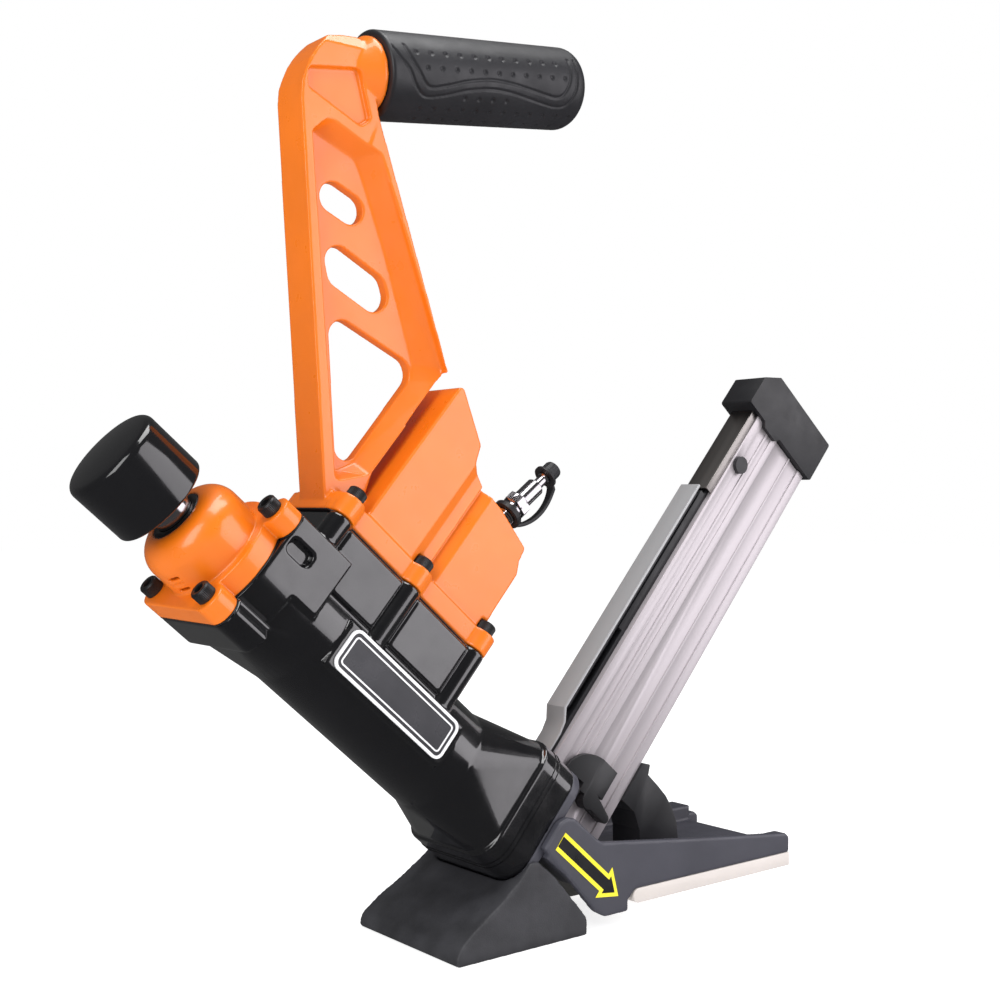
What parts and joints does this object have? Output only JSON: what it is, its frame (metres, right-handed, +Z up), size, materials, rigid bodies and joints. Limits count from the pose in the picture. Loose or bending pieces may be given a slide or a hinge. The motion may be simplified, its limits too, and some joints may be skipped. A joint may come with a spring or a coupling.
{
  "type": "flooring nailer",
  "caption": "Mallet-struck pneumatic flooring nailer with a long top handle and grip, a slanted magazine, an angled driver housing and a foot with a wear plate.",
  "frame": {"origin": "middle of the shoe's flat sole, on the surface the shoe stands on", "axes": "+X runs from the shoe to the heel of the foot, +Y is the left of a person looking along +X, +Z is up; the driver axis lies in the XZ plane, 49 degrees from vertical"},
  "size_m": [0.5315, 0.093, 0.5084],
  "materials": {
    "black_gloss_casting": "gloss",
    "orange_gloss_casting": "gloss",
    "dark_grey_casting": "satin",
    "black_matte_casting": "matte",
    "black_oxide_screw": "satin",
    "bright_steel": "satin",
    "dark_steel": "satin",
    "chrome": "polished",
    "aluminium": "satin",
    "black_rubber": "matte",
    "gloss_black_plastic": "gloss",
    "black_plastic": "matte",
    "ivory_plastic": "satin",
    "label_metal": "satin",
    "yellow_film": "gloss"
  },
  "bodies": {
    "tool": {"housing": "black_gloss_casting", "cylinder_cap": "orange_gloss_casting", "cap_gasket": "black_rubber", "cap_screws": "black_oxide_screw", "cylinder_sleeve": "aluminium", "bumper": "black_rubber", "valve_plate": "aluminium", "ram_bushing": "black_plastic", "ram_spring": "bright_steel", "handle_frame": "orange_gloss_casting", "handle_gasket": "black_rubber", "handle_screws": "black_oxide_screw", "grip_bar": "bright_steel", "grip": "black_rubber", "air_plug": "chrome", "dust_cap_strap": "black_rubber", "nameplate": "label_metal", "nose_plate": "dark_grey_casting", "nose_screws": "black_oxide_screw", "driver_guide": "bright_steel", "shoe": "black_matte_casting", "shoe_screws": "black_oxide_screw", "foot": "dark_grey_casting", "foot_screws": "black_oxide_screw", "arrow_decals": "yellow_film", "base_plate": "ivory_plastic", "base_plate_screws": "bright_steel", "magazine": "aluminium", "magazine_rail": "black_plastic", "top_cover": "dark_steel", "end_cap": "black_plastic", "end_cap_screws": "black_oxide_screw", "magazine_bracket": "black_plastic", "bracket_screws": "black_oxide_screw", "latch_pin": "bright_steel"},
    "ram": {"ram": "chrome", "hit_cap": "gloss_black_plastic"},
    "driver": {"piston": "aluminium", "piston_ring": "black_rubber", "driver_blade": "bright_steel"},
    "head_valve": {"head_valve": "black_plastic"},
    "pusher": {"pusher": "dark_steel", "roll_spring": "bright_steel"},
    "feeder_cover": {"feeder_cover": "bright_steel", "cover_runner": "black_plastic"},
    "latch": {"latch_lever": "black_plastic"},
    "stop_button": {"stop_button": "black_plastic"},
    "dust_cap": {"dust_cap": "black_rubber"}
  },
  "joints": [
    {"name": "ram_press", "type": "slide", "parent": "tool", "child": "ram", "axis": [0.7547, 0, -0.6561], "range_m": [0, 0.006], "stiffness_N_per_m": 2500, "springref_m": -0.005, "deforming": ["ram_spring"]},
    {"name": "driver_stroke", "type": "slide", "parent": "tool", "child": "driver", "axis": [0.7547, 0, -0.6561], "range_m": [0, 0.062]},
    {"name": "head_valve_lift", "type": "slide", "parent": "tool", "child": "head_valve", "axis": [-0.7547, 0, 0.6561], "range_m": [0, 0.0038]},
    {"name": "pusher_slide", "type": "slide", "parent": "tool", "child": "pusher", "axis": [0.6561, 0, 0.7547], "range_m": [0, 0.24], "stiffness_N_per_m": 15, "springref_m": -0.25},
    {"name": "feeder_cover_slide", "type": "slide", "parent": "tool", "child": "feeder_cover", "axis": [0.6561, 0, 0.7547], "range_m": [0, 0.06]},
    {"name": "latch_swing", "type": "hinge", "parent": "tool", "child": "latch", "pos_m": [0.07205, -0.0136, 0.06643], "axis": [0, 1, 0], "range_deg": [0, 25], "stiffness_Nm_per_rad": 0.3, "springref_deg": -14.32},
    {"name": "stop_button_press", "type": "slide", "parent": "tool", "child": "stop_button", "axis": [0, 1, 0], "range_m": [0, 0.0022], "stiffness_N_per_m": 800, "springref_m": -0.002},
    {"name": "dust_cap_pull", "type": "slide", "parent": "tool", "child": "dust_cap", "axis": [0.7986, 0, 0.6018], "range_m": [0, 0.012]}
  ]
}
